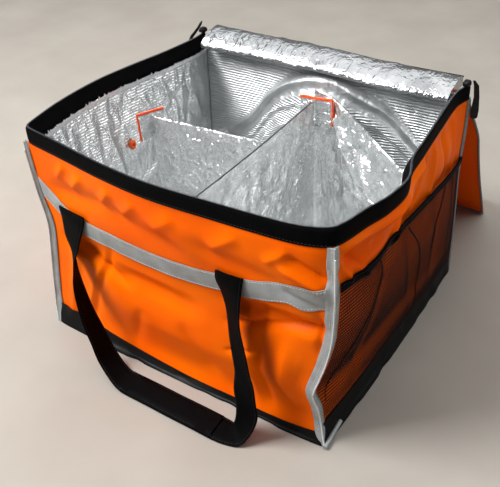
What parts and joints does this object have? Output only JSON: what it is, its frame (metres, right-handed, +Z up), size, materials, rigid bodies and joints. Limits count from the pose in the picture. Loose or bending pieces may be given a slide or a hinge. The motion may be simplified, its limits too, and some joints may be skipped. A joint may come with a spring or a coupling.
{
  "type": "insulated delivery bag",
  "caption": "Box-shaped insulated carry bag in coated fabric with its padded lid folded back, a foil lining with dividers, a mesh side pocket and a webbing handle.",
  "frame": {"origin": "middle of the base on the surface that the bag stands on", "axes": "+Z up; +X from left to right along the front; +Y from the front to the back, where the lid is hinged"},
  "size_m": [0.5198, 0.7114, 0.3464],
  "materials": {
    "orange_coated_fabric": "coated, semi-gloss",
    "black_webbing": "woven, matt",
    "aluminised_foil": "metallised film on woven backing, crinkled",
    "reflective_tape": "satin grey",
    "grey_piping": "matt",
    "black_net": "open net",
    "orange_edging": "satin",
    "black_slider": "semi-gloss"
  },
  "bodies": {
    "root": {"front_panel": "orange_coated_fabric", "right_panel": "orange_coated_fabric", "back_panel": "orange_coated_fabric", "left_panel": "orange_coated_fabric", "lid_panel": "orange_coated_fabric", "lid_skirt_left": "orange_coated_fabric", "lid_skirt_right": "orange_coated_fabric", "lid_skirt_end": "orange_coated_fabric", "base_panel": "black_webbing", "front_base_band": "black_webbing", "right_base_band": "black_webbing", "back_base_band": "black_webbing", "left_base_band": "black_webbing", "rim_band_left": "black_webbing", "rim_band_front": "black_webbing", "rim_band_right": "black_webbing", "side_pocket_binding": "black_webbing", "lid_zip_left": "black_webbing", "lid_zip_right": "black_webbing", "lid_zip_end": "black_webbing", "handle_left": "black_webbing", "handle_grip": "black_webbing", "handle_right": "black_webbing", "front_lining": "aluminised_foil", "right_lining": "aluminised_foil", "back_lining": "aluminised_foil", "left_lining": "aluminised_foil", "floor_lining": "aluminised_foil", "lid_lining": "aluminised_foil", "hinge_fold": "aluminised_foil", "long_divider": "aluminised_foil", "cross_divider": "aluminised_foil", "turned_divider": "aluminised_foil", "back_tab": "aluminised_foil", "left_tab": "aluminised_foil", "front_left_binding": "reflective_tape", "front_right_binding": "reflective_tape", "reflective_band": "reflective_tape", "back_right_binding": "grey_piping", "back_left_binding": "grey_piping", "side_pocket_mesh": "black_net", "back_tab_top_edging": "orange_edging", "back_tab_side_edging": "orange_edging", "left_tab_top_edging": "orange_edging", "left_tab_side_edging": "orange_edging", "hook_button": "orange_edging", "zip_chain": "black_slider", "zip_slider_left": "black_slider", "zip_slider_right": "black_slider", "zip_pull_left": "black_slider", "zip_pull_right": "black_slider"}
  },
  "joints": []
}
